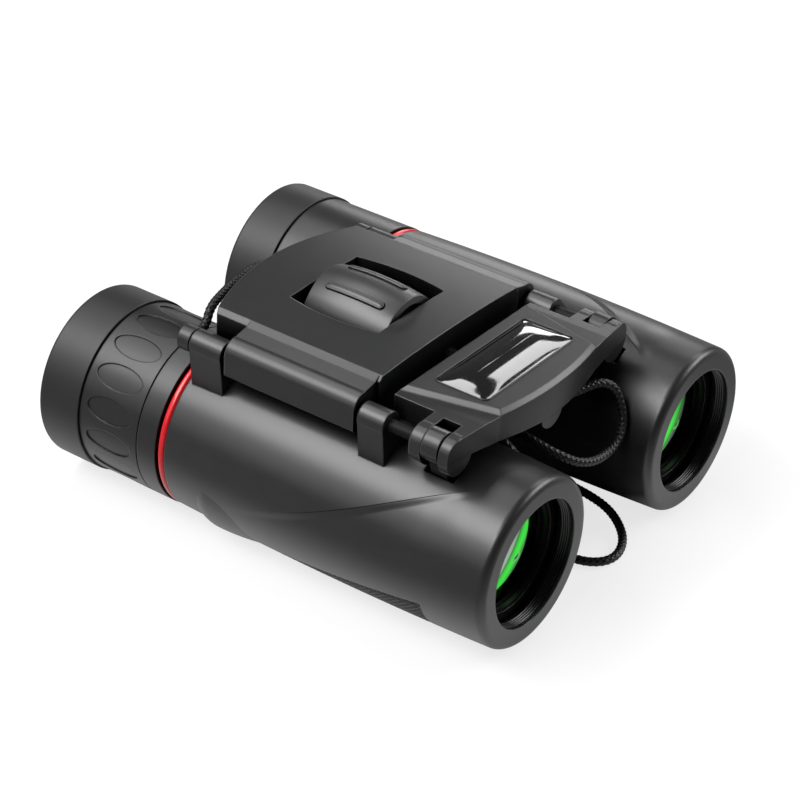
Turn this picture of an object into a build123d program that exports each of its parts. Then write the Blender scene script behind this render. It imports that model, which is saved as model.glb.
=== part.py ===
"""Compact double-hinge roof-prism binoculars, lying on a table as photographed.

Frame: millimetres, +Z up, -Y towards the objectives, +Y towards the eyepieces.
The right barrel (the user's right hand) is at -X.  The origin is on the table,
under the middle of the two barrels.  Stations along the barrels are counted from
the front rim, and `at()` turns a station into a Y coordinate.
"""
from build123d import *
import math
import os

# Overall and hinge layout
hinge_half_spacing = 25.9
barrel_gap = 2.7
fold_in_right = 21.0
fold_out_left = 27.5

# Fits
slide_gap = 0.05
seat_gap = 0.03
face_gap = 0.25
trim_gap = 0.1

# Barrel housing
body_mid_r = 17.3
body_mid_s = 40.0
body_end_s = 70.6
body_wall = 3.9
rim_step = 0.8
end_step = 0.5
rim_round = 1.5
lip_height = 1.1
lip_depth = 2.6

# Heel: low swelling behind the grip pad on the outer underside
heel_offset = 3.0
heel_turn = 62.0
heel_height = 0.55
heel_front_s = 51.0
heel_top_s = 61.0
heel_rear_s = 66.0
heel_front_drop = 0.9
heel_rear_drop = 2.0

# Grip pad let into the housing
pad_front_s = 13.0
pad_rear_s = 46.0
pad_thickness = 1.4
pad_turn = 36.0
pad_inner_half = 42.0
pad_front_half = 56.0
pad_rear_half = 32.0

# Hinge lugs, pins and caps
pin_r = 1.2
lug_r = 2.5
front_lug_s = 26.3
front_lug_width = 5.5
rear_lug_inset = 8.1
rear_lug_width = 7.2
lug_outer_foot = 4.65
lug_inner_foot = 2.8
lug_root_depth = 2.1
pin_front_s = 14.3
cap_r = 2.4
cap_length = 2.9
cap_gap = 0.35
pin_in_cap = 0.4
strap_hole_r = 1.05

# Red ring, collar, sleeve, diopter ring and eyecup
ring_wall = 3.45
ring_width = 2.0
dial_wall = 3.55
collar_width = 4.3
dial_width = 13.9
dimple_count = 16
dimple_phase = 3.3
dimple_length = 10.8
dimple_width = 4.8
dimple_depth = 0.25
eyecup_length = 9.7
eyecup_wall = 3.95
eyecup_round = 0.6
eyecup_floor = 4.8
eyecup_lip = 1.2
eyecup_rim = 2.9
eye_ledge = 1.6

# Eyepiece tube and ocular
tube_wall = 2.15
tube_seat_depth = 12.0
ocular_length = 25.0
ocular_shift = 1.0
ocular_pin_r = 0.8
ocular_wall = 1.2
eye_lens_thickness = 4.0
field_lens_thickness = 4.6
field_lens_inset = 1.5
lens_bulge = 1.1

# Objective cell and lens
focus_travel = 1.2
cell_front_gap = 0.4
cell_tail = 2.3
cell_wall = 2.35
lens_recess = 0.3
retainer_width = 0.5
retainer_length = 0.9
crown_edge = 1.8
crown_front_radius = 45.0
crown_rear_radius = 38.0
flint_edge = 3.6
cell_arm_thickness = 3.0
cell_arm_width = 3.3
cell_arm_s = 14.6
arm_eye_r = 3.0

# Prism cluster
holder_front_s = 26.0
holder_gap = 2.6
prism_width = 15.0
prism_height = 16.0
prism_air = 0.5
prism_rear_low = 8.0
prism_slant = 10.0
prism_inset = 2.0
roof_depth = 4.0

# Rear bridge
plate_top = 5.2
plate_crown = 0.7
plate_inset = 4.3
plate_bevel = 0.9
plate_front_gap = 0.3
plate_overhang = 2.7
plate_corner_inset = 1.8
band_wall = 2.3
band_shoulder_inset = 0.9
band_shoulder_w = 3.75
band_step_w = 4.4
band_side_w = 0.4
band_foot = 2.8
band_foot_chamfer = 0.7
lug_clearance = 0.9
bridge_bottom = -3.5
window_half = 10.1
window_bulge = 1.2
window_front_margin = 8.9
window_rear_margin = 3.4
cavity_side_wall = 5.1
cavity_wall = 1.8
base_thickness = 1.0
base_rim = 2.0
base_rear_inset = 4.1
screw_r = 0.8
screw_head_r = 1.5
screw_head_height = 0.7
screw_length = 3.6
screw_edge = 1.9

# Focus wheel and spindle
wheel_axis_w = -0.3
wheel_r = 9.2
wheel_crown = 0.75
wheel_front_gap = 0.5
wheel_rear_gap = 1.4
wheel_wall = 1.5
wheel_rib_count = 8
wheel_rib_phase = 15.0
wheel_rib_margin = 2.7
wheel_rib_width = 1.4
wheel_rib_height = 0.35
core_recess = 1.2
spindle_r = 1.5
spindle_front_s = 12.6
bush_r = 2.1

# Front bridge
front_top = 3.9
front_shoulder_w = 3.0
front_rear_s = 29.1
front_neck_wall = 0.7
front_neck_s = 20.5
front_ear_wall = 2.8
front_ear_s = 12.4
front_centre_s = 9.2
front_flank_s = 10.8
front_ear_shoulder_inset = 0.7
front_ear_shoulder_w = 2.7
front_ear_side_w = 0.2
front_ear_foot = -1.5
knuckle_r = 3.8
knuckle_drop = 1.0
front_skirt = -3.0
front_wall = 2.2
front_roof = 1.6
platform_side = 1.6
platform_front_margin = 1.3
platform_bevel = 0.8
carrier_slot_reach = 4.0
boss_r = 4.2
boss_foot_r = 3.4
boss_foot_w = -2.7
boss_length = 5.0
nut_r = 2.6
nut_length = 4.0

# Badge
badge_half = 14.0
badge_front_s = 14.9
badge_rear_s = 25.7
badge_corner = 1.0
badge_depth = 0.6
badge_dome = 0.7
badge_land = 1.4

# Wrist strap
cord_r = 0.9
crimp_length = 6.5
crimp_front_s = 30.0
crimp_w = -10.6
crimp_wall = 0.45
strand_pitch = 2.0

# Values worked out from the sizes above
hinge_arm = body_mid_r - bridge_bottom + barrel_gap
rim_outer_r = body_mid_r - rim_step
body_end_r = body_mid_r - end_step
bore_r = body_mid_r - body_wall
rim_bore_r = bore_r - lip_height
tube_outer_r = bore_r - slide_gap
tube_inner_r = tube_outer_r - tube_wall
ring_outer_r = tube_outer_r + ring_wall
dial_outer_r = tube_outer_r + dial_wall
eyecup_outer_r = tube_outer_r + eyecup_wall
eyecup_mouth_r = eyecup_outer_r - eyecup_rim
eye_aperture_r = tube_inner_r - eye_ledge
holder_r = bore_r - trim_gap
wheel_end_r = wheel_r - wheel_crown
lug_root_z = body_mid_r - lug_root_depth
pad_floor_r = body_mid_r - pad_thickness
rear_lug_s = body_end_s - rear_lug_inset
lug_span_front = (front_lug_s, front_lug_s + front_lug_width)
lug_span_rear = (rear_lug_s, rear_lug_s + rear_lug_width)
ring_s = body_end_s + trim_gap
collar_s = ring_s + ring_width + trim_gap
dial_s = collar_s + collar_width + face_gap
eyecup_s = dial_s + dial_width + face_gap
total_length = eyecup_s + eyecup_length
eyecup_floor_s = total_length - eyecup_floor
tube_end_s = eyecup_floor_s - eyecup_lip - seat_gap
ocular_r = tube_inner_r - slide_gap
ocular_end_s = tube_end_s - ocular_shift - face_gap
ocular_front_s = ocular_end_s - ocular_length
ocular_pin_s = dial_s + dial_width / 2
cell_r = bore_r - slide_gap
lens_r = cell_r - cell_wall
cell_front_s = lip_depth + focus_travel + cell_front_gap
cell_length = cell_arm_s + cell_arm_width + cell_tail - cell_front_s
holder_length = body_end_s - tube_seat_depth - holder_gap - holder_front_s
prism_total = holder_length - 2 * prism_inset
prism_front_low = prism_total - prism_rear_low
prism_front_high = prism_front_low - prism_slant
plate_half = hinge_half_spacing - plate_inset
plate_front_s = lug_span_front[1] + plate_front_gap
plate_rear_s = body_end_s + plate_overhang
plate_corner_s = body_end_s - plate_corner_inset
band_outer = hinge_half_spacing + band_wall
band_shoulder = hinge_half_spacing - band_shoulder_inset
base_rear_s = body_end_s - base_rear_inset
cavity_half = plate_half - cavity_side_wall
cavity_rear_s = base_rear_s - base_rim
window_front_s = plate_front_s + window_front_margin
window_rear_s = cavity_rear_s - window_rear_margin
wheel_front_s = window_front_s + wheel_front_gap
wheel_length = window_rear_s - wheel_rear_gap - wheel_front_s
wheel_rib_length = wheel_length - 2 * wheel_rib_margin
front_ear_half = hinge_half_spacing + front_ear_wall
front_ear_shoulder = hinge_half_spacing - front_ear_shoulder_inset
carrier_slot_half = hinge_half_spacing - carrier_slot_reach
front_neck_half = carrier_slot_half - front_neck_wall
platform_rear_half = front_neck_half - platform_side
platform_front_half = badge_half + platform_front_margin
knuckle_u = front_ear_half - knuckle_r
spindle_rear_s = base_rear_s + base_rim
cap_s = lug_span_rear[1] + cap_gap
cord_hole_s = cap_s + cap_length / 2

# Rest pose: both barrels stand on the table, so the bridge leans a little
right_drop = hinge_arm * math.cos(math.radians(fold_in_right))
left_drop = hinge_arm * math.cos(math.radians(fold_out_left))
right_in = hinge_arm * math.sin(math.radians(fold_in_right))
left_out = hinge_arm * math.sin(math.radians(fold_out_left))
span_u = 2 * hinge_half_spacing + left_out - right_in
span_w = right_drop - left_drop
axis_spacing = math.hypot(span_u, span_w)
lean = math.degrees(math.atan2(span_w, span_u))
axis_height = body_mid_r


def at(station):
    """Y coordinate of a station counted from the front rim."""
    return station - total_length / 2


def bridge_point(u, station, w):
    """Place of a point given across, along and above the hinge line of the bridge."""
    turn = math.radians(lean)
    from_axis_u = u + hinge_half_spacing - right_in
    from_axis_w = w + right_drop
    x = -axis_spacing / 2 + from_axis_u * math.cos(turn) + from_axis_w * math.sin(turn)
    z = axis_height - from_axis_u * math.sin(turn) + from_axis_w * math.cos(turn)
    return Vector(x, at(station), z)


bridge_centre = bridge_point(0, total_length / 2, 0)
bridge_place = Location(bridge_centre, (0, lean, 0))
barrel_place = {
    "right": Location((-axis_spacing / 2, 0, axis_height), (0, lean - fold_in_right, 0)),
    "left": Location((axis_spacing / 2, 0, axis_height), (0, lean - fold_out_left, 0)),
}
outer_side = {"right": -1, "left": 1}


def drum(radius, start, end, x=0.0, z=0.0):
    """Cylinder along Y between two stations."""
    plane = Plane((x, at(start), z), x_dir=(1, 0, 0), z_dir=(0, 1, 0))
    return extrude(plane * Circle(radius), end - start)


def tube(outer, inner, start, end):
    """Hollow cylinder along Y between two stations."""
    return drum(outer, start, end) - drum(inner, start - 1, end + 1)


def block(x0, x1, start, end, z0, z1):
    """Box between two values of X, two stations and two heights."""
    centre = ((x0 + x1) / 2, at((start + end) / 2), (z0 + z1) / 2)
    return Pos(*centre) * Box(x1 - x0, end - start, z1 - z0)


def spun(points):
    """Solid of revolution about Y from a closed outline of (radius, station) points."""
    outline = Polyline(*[(r, at(s)) for r, s in points], close=True)
    return revolve(make_face(outline), Axis.Y)


def across(points, start, end):
    """Prism along Y of a closed outline of (x, z) points."""
    plane = Plane((0, at(end), 0), x_dir=(1, 0, 0), z_dir=(0, -1, 0))
    return extrude(plane * make_face(Polyline(*points, close=True)), end - start)


def plan(points, low, high):
    """Prism along Z of a closed outline of (x, station) points."""
    outline = Polyline(*[(x, at(s)) for x, s in points], close=True)
    return extrude(Pos(0, 0, low) * make_face(outline), high - low)


def save(node, shape):
    """Write one node as a STEP file."""
    export_step(shape, os.path.join("parts", node + ".step"))


def housing_blank():
    """Outer form of a barrel: a rounded rim and one long bulge."""
    bulge = ThreePointArc((rim_outer_r, at(rim_round)), (body_mid_r, at(body_mid_s)),
                          (body_end_r, at(body_end_s)))
    rim = RadiusArc((rim_outer_r - rim_round, at(0)), (rim_outer_r, at(rim_round)), -rim_round)
    back = Polyline((body_end_r, at(body_end_s)), (0, at(body_end_s)), (0, at(0)),
                    (rim_outer_r - rim_round, at(0)))
    return revolve(make_face(Curve() + [bulge, rim, back]), Axis.Y)


def heel(side):
    """Swelling of the outer underside: a barrel-shaped body on an axis set off from the barrel's."""
    top = body_mid_r + heel_height - heel_offset
    peak = (top, at(heel_top_s))
    front = (top - heel_front_drop, at(heel_front_s))
    rear = (top - heel_rear_drop, at(heel_rear_s))
    rise = TangentArc(peak, front, tangent=(0, -1))
    fall = TangentArc(peak, rear, tangent=(0, 1))
    back = Polyline(rear, (0, rear[1]), (0, front[1]), front)
    turn = math.radians(heel_turn)
    shift = Pos(outer_side[side] * heel_offset * math.sin(turn), 0, -heel_offset * math.cos(turn))
    return shift * revolve(make_face(Curve() + [rise, fall, back]), Axis.Y)


def pad_wedge_face(side, station, outer_half, grow):
    """Outline of the grip pad's sector at one station, from the barrel's axis outwards."""
    spare = math.degrees(grow / body_mid_r)
    reach = 3 * body_mid_r
    corners = [(0, 0)]
    for step in (-pad_inner_half - spare, (outer_half - pad_inner_half) / 2, outer_half + spare):
        angle = math.radians(pad_turn + step)
        corners.append((outer_side[side] * reach * math.sin(angle), -reach * math.cos(angle)))
    plane = Plane((0, at(station), 0), x_dir=(1, 0, 0), z_dir=(0, -1, 0))
    return plane * make_face(Polyline(*corners, close=True))


def pad_sector(side, grow):
    """Sector ring of the grip pad, low on the outer side; its outer edge climbs to the front."""
    ring = tube(body_mid_r + 2, pad_floor_r - grow, pad_front_s - grow, pad_rear_s + grow)
    ends = ((pad_rear_s + 1, pad_rear_half), (pad_front_s - 1, pad_front_half))
    return ring & loft([pad_wedge_face(side, station, half, grow) for station, half in ends], ruled=True)


def lug(side, start, end):
    """Hinge lug on the barrel, with a straight outer face and a bored eye."""
    outward = outer_side[side]
    web = [(outward * lug_r, hinge_arm), (outward * lug_outer_foot, lug_root_z),
           (-outward * lug_inner_foot, lug_root_z), (-outward * lug_r, hinge_arm)]
    return across(web, start, end) + drum(lug_r, start, end, 0, hinge_arm)


def housing(side):
    """Barrel housing with its bore, lugs, pad recess and the slot for the focusing arm."""
    body = housing_blank() + heel(side)
    for span in (lug_span_front, lug_span_rear):
        body += lug(side, *span)
    body -= drum(rim_bore_r, -1, lip_depth + 1)
    body -= drum(bore_r, lip_depth, body_end_s + 1)
    body -= drum(pin_r + slide_gap, front_lug_s - 1, lug_span_rear[1] + 1, 0, hinge_arm)
    body -= pad_sector(side, seat_gap)
    slot_side = cell_arm_thickness / 2 + face_gap
    slot_reach = focus_travel + face_gap
    body -= block(-slot_side, slot_side, cell_arm_s - slot_reach,
                  cell_arm_s + cell_arm_width + slot_reach, 0, body_mid_r + 1)
    return body


def grip_pad(side):
    """Moulded pad flush with the housing."""
    return housing_blank() & pad_sector(side, 0)


def objective_cell():
    """Sliding lens cell with the arm that the front bridge carries along."""
    cell = tube(cell_r, lens_r + seat_gap, cell_front_s, cell_front_s + cell_length)
    shoulder_s = cell_front_s + lens_recess + retainer_length + crown_edge + flint_edge
    cell += tube(cell_r, lens_r - retainer_width, shoulder_s, cell_front_s + cell_length)
    arm_end_s = cell_arm_s + cell_arm_width
    half = cell_arm_thickness / 2
    cell += block(-half, half, cell_arm_s, arm_end_s, (lens_r + cell_r) / 2, hinge_arm)
    cell += drum(arm_eye_r, cell_arm_s, arm_end_s, 0, hinge_arm)
    return cell - drum(pin_r + slide_gap, cell_arm_s - 1, arm_end_s + 1, 0, hinge_arm)


def sag(radius, height):
    """Depth of a sphere's cap at a given height from the axis."""
    return radius - math.sqrt(radius ** 2 - height ** 2)


def lens(radius, front_s, edge, front_bulge, rear_bulge):
    """Lens of one glass: edge stations, and how far each face swells at the axis."""
    rear_s = front_s + edge
    rim = Line((radius, at(front_s)), (radius, at(rear_s)))
    front_pole = (0, at(front_s - front_bulge))
    rear_pole = (0, at(rear_s + rear_bulge))
    sides = [rim, Line(front_pole, rear_pole)]
    for pole, station, bulge in ((front_pole, front_s, -front_bulge), (rear_pole, rear_s, rear_bulge)):
        if bulge == 0:
            sides.append(Line(pole, (radius, at(station))))
        else:
            curve = (radius ** 2 + bulge ** 2) / (2 * abs(bulge))
            middle = radius / 2
            drop = sag(curve, middle) * (1 if bulge > 0 else -1)
            sides.append(ThreePointArc(pole, (middle, pole[1] - drop), (radius, at(station))))
    return revolve(make_face(Curve() + sides), Axis.Y)


def objective_glass():
    """Crown and flint of the objective, in contact on their common curve."""
    edge_s = cell_front_s + lens_recess + retainer_length
    middle_s = edge_s + crown_edge
    swell = sag(crown_rear_radius, lens_r)
    crown = lens(lens_r, edge_s, crown_edge, sag(crown_front_radius, lens_r), swell)
    flint = lens(lens_r, middle_s, flint_edge, -swell, 0)
    return crown, flint


def prism_pair():
    """Front half-penta block and rear roof block with an air gap between them."""
    low, high = -prism_height / 2, prism_height / 2
    front = holder_front_s + prism_inset
    rear = front + prism_total
    half = prism_width / 2

    def solid(points):
        plane = Plane((-half, 0, 0), x_dir=(0, 1, 0), z_dir=(1, 0, 0))
        outline = Polyline(*[(at(s), z) for z, s in points], close=True)
        return extrude(plane * make_face(outline), prism_width)

    first = solid([(low, front), (high, front), (high, front + prism_front_high),
                   (low, front + prism_front_low)])
    second = solid([(low, front + prism_front_low + prism_air), (high, front + prism_front_high + prism_air),
                    (high, rear), (low, rear)])
    for side in (-1, 1):
        second -= across([(side * half, high), (side * half, high - roof_depth),
                          (side * (half - roof_depth), high)], front - 1, rear + 1)
    return first, second


def prism_holder():
    """Cage that fills the bore round the prisms."""
    cage = drum(holder_r, holder_front_s, holder_front_s + holder_length)
    half = prism_width / 2 + face_gap
    tall = prism_height / 2 + face_gap
    return cage - block(-half, half, holder_front_s - 1, holder_front_s + holder_length + 1, -tall, tall)


def eyepiece_tube(slotted):
    """Tube that carries the rings, the eyecup and the ocular."""
    body = tube(tube_outer_r, tube_inner_r, body_end_s - tube_seat_depth, tube_end_s)
    if slotted:
        reach = ocular_shift + ocular_pin_r + slide_gap
        width = ocular_pin_r + slide_gap
        for side in (-1, 1):
            inner, outer = sorted((side * (tube_inner_r - 1), side * (tube_outer_r + 1)))
            body -= block(inner, outer, ocular_pin_s - reach, ocular_pin_s + reach, -width, width)
    return body


def ocular(driven):
    """Ocular cell with its two lenses; the driven one carries two cam pins."""
    cell = tube(ocular_r, ocular_r - ocular_wall, ocular_front_s, ocular_end_s)
    glass_r = ocular_r - ocular_wall - seat_gap
    if driven:
        for side in (-1, 1):
            plane = Plane((side * (ocular_r - ocular_wall / 2), at(ocular_pin_s), 0), z_dir=(side, 0, 0))
            cell += extrude(plane * Circle(ocular_pin_r), tube_outer_r - ocular_r + ocular_wall)
    field_s = ocular_front_s + field_lens_inset
    field = lens(glass_r, field_s, field_lens_thickness - lens_bulge, 0, lens_bulge)
    eye_front_s = ocular_end_s - eye_lens_thickness
    eye = lens(glass_r, eye_front_s, eye_lens_thickness - lens_bulge, lens_bulge, 0)
    return cell, field, eye


def diopter_ring():
    """Diopter ring with oval finger dimples and the cam groove inside."""
    ring = tube(dial_outer_r, tube_outer_r + slide_gap, dial_s, dial_s + dial_width)
    groove = ocular_shift + ocular_pin_r + face_gap
    groove_r = tube_outer_r + ocular_wall
    ring -= tube(groove_r, 1.0, ocular_pin_s - groove, ocular_pin_s + groove)
    middle = at(dial_s + dial_width / 2)
    skin = tube(dial_outer_r + 1, dial_outer_r - dimple_depth, dial_s, dial_s + dial_width)
    plane = Plane((0, middle, 0), x_dir=(0, 1, 0), z_dir=(0, 0, 1))
    oval = extrude(plane * Ellipse(dimple_length / 2, dimple_width / 2), dial_outer_r + 1) & skin
    for index in range(dimple_count):
        ring -= Rot(0, dimple_phase + 360 * (index + 0.5) / dimple_count, 0) * oval
    return ring


def eyecup():
    """Rubber eyecup: a sleeve over the tube with a lip round the eye lens and a flared mouth."""
    sleeve_r = tube_outer_r + seat_gap
    lip_s = eyecup_floor_s - eyecup_lip
    cup = spun([(sleeve_r, eyecup_s), (eyecup_outer_r, eyecup_s), (eyecup_outer_r, total_length),
                (eyecup_mouth_r, total_length), (eye_aperture_r, eyecup_floor_s), (eye_aperture_r, lip_s),
                (sleeve_r, lip_s)])
    edge = cup.edges().filter_by(GeomType.CIRCLE).sort_by(Axis.Y)[-2:].sort_by(SortBy.RADIUS)[-1]
    return fillet(edge, eyecup_round)


def bridge_section():
    """Half-outlines of the rear bridge: flat top, bevel, sloping band and rounded hinge side."""
    def half(side):
        return [(side * (plate_half - plate_bevel), plate_top), (side * (plate_half + 0.5), band_step_w),
                (side * band_shoulder, band_shoulder_w)]
    left, right = half(1), half(-1)
    top = Polyline(*reversed(left), *right)
    curve = Curve() + [top]
    for side in (-1, 1):
        shoulder = (side * band_shoulder, band_shoulder_w)
        hip = (side * band_outer, band_side_w)
        bend = (side * (band_shoulder + (band_outer - band_shoulder) * 0.75),
                band_side_w + (band_shoulder_w - band_side_w) * 0.72)
        curve += ThreePointArc(shoulder, bend, hip)
        curve += Polyline(hip, (side * band_outer, -band_foot),
                          (side * (band_outer - band_foot_chamfer), bridge_bottom))
    inner = band_outer - band_foot_chamfer
    curve += Line((-inner, bridge_bottom), (inner, bridge_bottom))
    return curve


def crowned_bar():
    """Bar along Y with the section of the plate: upright sides, bevels and a crowned top."""
    edge = plate_half - plate_bevel
    crown = ThreePointArc((-edge, plate_top), (0, plate_top + plate_crown), (edge, plate_top))
    bevel_w = plate_top - plate_bevel
    sides = Polyline((edge, plate_top), (plate_half, bevel_w), (plate_half, bridge_bottom),
                     (-plate_half, bridge_bottom), (-plate_half, bevel_w), (-edge, plate_top))
    plane = Plane((0, at(plate_rear_s), 0), x_dir=(1, 0, 0), z_dir=(0, -1, 0))
    return extrude(plane * make_face(Curve() + [crown, sides]), plate_rear_s - plate_front_s)


def wheel_window(low, high):
    """Opening for the wheel, straight at its ends and bulging at its sides."""
    middle_s = (window_front_s + window_rear_s) / 2
    edges = []
    for side in (-1, 1):
        edges.append(ThreePointArc((side * window_half, at(window_front_s)),
                                   (side * (window_half + window_bulge), at(middle_s)),
                                   (side * window_half, at(window_rear_s))))
    for station in (window_front_s, window_rear_s):
        edges.append(Line((-window_half, at(station)), (window_half, at(station))))
    return extrude(Pos(0, 0, low) * make_face(Curve() + edges), high - low)


def bridge_cover():
    """Rear bridge: crowned plate, hinge bands, wheel window and the cavity for the wheel."""
    band_start = lug_span_front[1] + lug_clearance
    band_end = lug_span_rear[0] - lug_clearance
    plane = Plane((0, at(band_end), 0), x_dir=(1, 0, 0), z_dir=(0, -1, 0))
    band = extrude(plane * make_face(bridge_section()), band_end - band_start)
    rear_arc = ThreePointArc((plate_half, at(plate_corner_s)), (0, at(plate_rear_s)),
                             (-plate_half, at(plate_corner_s)))
    sides = Polyline((-plate_half, at(plate_corner_s)), (-plate_half, at(plate_front_s)),
                     (plate_half, at(plate_front_s)), (plate_half, at(plate_corner_s)))
    deck = make_face(Curve() + [rear_arc, sides])
    ridge = plate_top + plate_crown
    plate = extrude(Pos(0, 0, bridge_bottom) * deck, ridge - bridge_bottom) & crowned_bar()
    cover = band + plate
    cover -= wheel_window(0, ridge + 1)
    wall_s = plate_front_s + base_rim
    cover -= block(-cavity_half, cavity_half, wall_s + base_rim, cavity_rear_s, bridge_bottom - 1,
                   plate_top - cavity_wall)
    recess = cavity_half + base_rim
    cover -= block(-recess, recess, wall_s, base_rear_s, bridge_bottom - 1, bridge_bottom + base_thickness)
    cover -= drum(bush_r, plate_front_s - 1, plate_rear_s - 2 * base_rim, 0, wheel_axis_w)
    for side in (-1, 1):
        cover -= drum(pin_r + seat_gap, band_start - 1, band_end + 1, side * hinge_half_spacing, 0)
    for x, s in screw_spots():
        cover -= Pos(x, at(s), bridge_bottom) * Cylinder(screw_r, 2 * screw_length)
    return cover


def screw_spots():
    """Corners where the base plate is screwed to the cover."""
    x = cavity_half + base_rim - screw_edge
    front = plate_front_s + base_rim + screw_edge
    return [(side * x, s) for side in (-1, 1) for s in (front, base_rear_s - screw_edge)]


def bridge_base():
    """Plate that closes the underside of the rear bridge round the wheel."""
    half = cavity_half + base_rim - seat_gap
    front = plate_front_s + base_rim + seat_gap
    plate = block(-half, half, front, base_rear_s - seat_gap, bridge_bottom, bridge_bottom + base_thickness)
    plate -= wheel_window(bridge_bottom - 1, 0)
    for x, s in screw_spots():
        plate -= Pos(x, at(s), bridge_bottom) * Cylinder(screw_r + seat_gap, 4 * base_thickness)
        plate -= Pos(x, at(s), bridge_bottom) * Cylinder(screw_head_r + seat_gap, 2 * screw_head_height)
    return plate


def base_screws():
    """Four countersunk-style screws that hold the base plate."""
    group = []
    for x, s in screw_spots():
        shank = Pos(x, at(s), bridge_bottom + screw_length / 2) * Cylinder(screw_r - seat_gap, screw_length)
        head_z = bridge_bottom + screw_head_height / 2
        head = Pos(x, at(s), head_z) * Cylinder(screw_head_r, screw_head_height)
        slot = Pos(x, at(s), bridge_bottom) * Box(2 * screw_r, screw_r / 2, screw_r / 2)
        group.append((shank + head - slot).solid())
    return Compound(group)


def hinge_pin(side):
    """Long hinge pin from the front bridge to its rear cap."""
    return drum(pin_r, pin_front_s, cap_s + pin_in_cap, side * hinge_half_spacing, 0)


def pin_cap(side):
    """Rear cap of a hinge pin; the right one is bored across for the strap."""
    x = side * hinge_half_spacing
    cap = drum(cap_r, cap_s, cap_s + cap_length, x, 0)
    cap = chamfer(cap.edges().filter_by(GeomType.CIRCLE).sort_by(Axis.Y)[-1], cap_r / 6)
    cap -= drum(pin_r + seat_gap, cap_s - 1, cap_s + pin_in_cap + seat_gap, x, 0)
    if side < 0:
        plane = Plane((x, at(cord_hole_s), 0), z_dir=(1, 0, 0))
        cap -= extrude(plane * Circle(strap_hole_r), 2 * cap_r)
    return cap


def spindle_bush(start, end):
    """Bearing bush for the spindle in a wall of the bridge."""
    bush = drum(bush_r - seat_gap, start, end, 0, wheel_axis_w)
    return bush - drum(spindle_r + slide_gap, start - 2, end + 2, 0, wheel_axis_w)


def wheel_barrel(inner, rise):
    """Barrel-shaped sleeve about Y with a plain bore, its outside raised by a little."""
    rear_s = wheel_front_s + wheel_length
    end_r = wheel_end_r + rise
    bulge = ThreePointArc((end_r, at(wheel_front_s)), (wheel_r + rise, at((wheel_front_s + rear_s) / 2)),
                          (end_r, at(rear_s)))
    back = Polyline((end_r, at(rear_s)), (inner, at(rear_s)), (inner, at(wheel_front_s)),
                    (end_r, at(wheel_front_s)))
    return revolve(make_face(Curve() + [bulge, back]), Axis.Y)


def focus_wheel():
    """Wheel sleeve with raised finger ribs along its length."""
    inner = wheel_end_r - wheel_wall
    sleeve = wheel_barrel(inner, 0)
    middle = at(wheel_front_s + wheel_length / 2)
    plane = Plane((0, middle, 0), x_dir=(0, 1, 0), z_dir=(0, 0, 1))
    bar = extrude(plane * SlotOverall(wheel_rib_length, wheel_rib_width), wheel_r + 2 * wheel_rib_height)
    rib = bar & wheel_barrel(inner + wheel_wall / 2, wheel_rib_height)
    for index in range(wheel_rib_count):
        sleeve += Rot(0, wheel_rib_phase + 360 * index / wheel_rib_count, 0) * rib
    return Pos(0, 0, wheel_axis_w) * sleeve


def wheel_core():
    """Core that carries the sleeve on the spindle."""
    start = wheel_front_s + core_recess
    end = wheel_front_s + wheel_length - core_recess
    core = drum(wheel_end_r - wheel_wall - seat_gap, start, end, 0, wheel_axis_w)
    return core - drum(spindle_r + seat_gap, start - 1, end + 1, 0, wheel_axis_w)


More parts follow.
